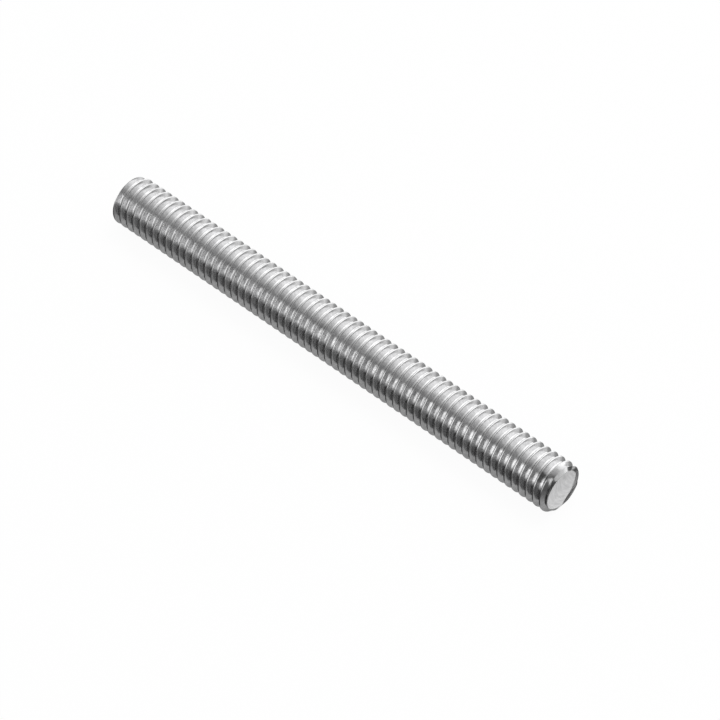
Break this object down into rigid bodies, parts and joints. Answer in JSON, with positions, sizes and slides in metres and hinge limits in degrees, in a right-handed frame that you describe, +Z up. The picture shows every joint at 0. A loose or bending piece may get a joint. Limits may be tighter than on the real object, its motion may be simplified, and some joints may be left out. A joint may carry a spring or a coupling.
{
  "type": "threaded rod",
  "caption": "Straight steel rod with a right-hand screw thread along its whole length and bevelled flat ends.",
  "frame": {"origin": "on the rod's axis, half-way between its two end faces", "axes": "+X along the rod towards the end where a crest meets the face above the +Y side, +Z up when the rod lies flat"},
  "size_m": [0.1016, 0.0096, 0.0096],
  "materials": {
    "rod_steel": "polished"
  },
  "bodies": {
    "root": {"threaded_rod": "rod_steel"}
  },
  "joints": []
}
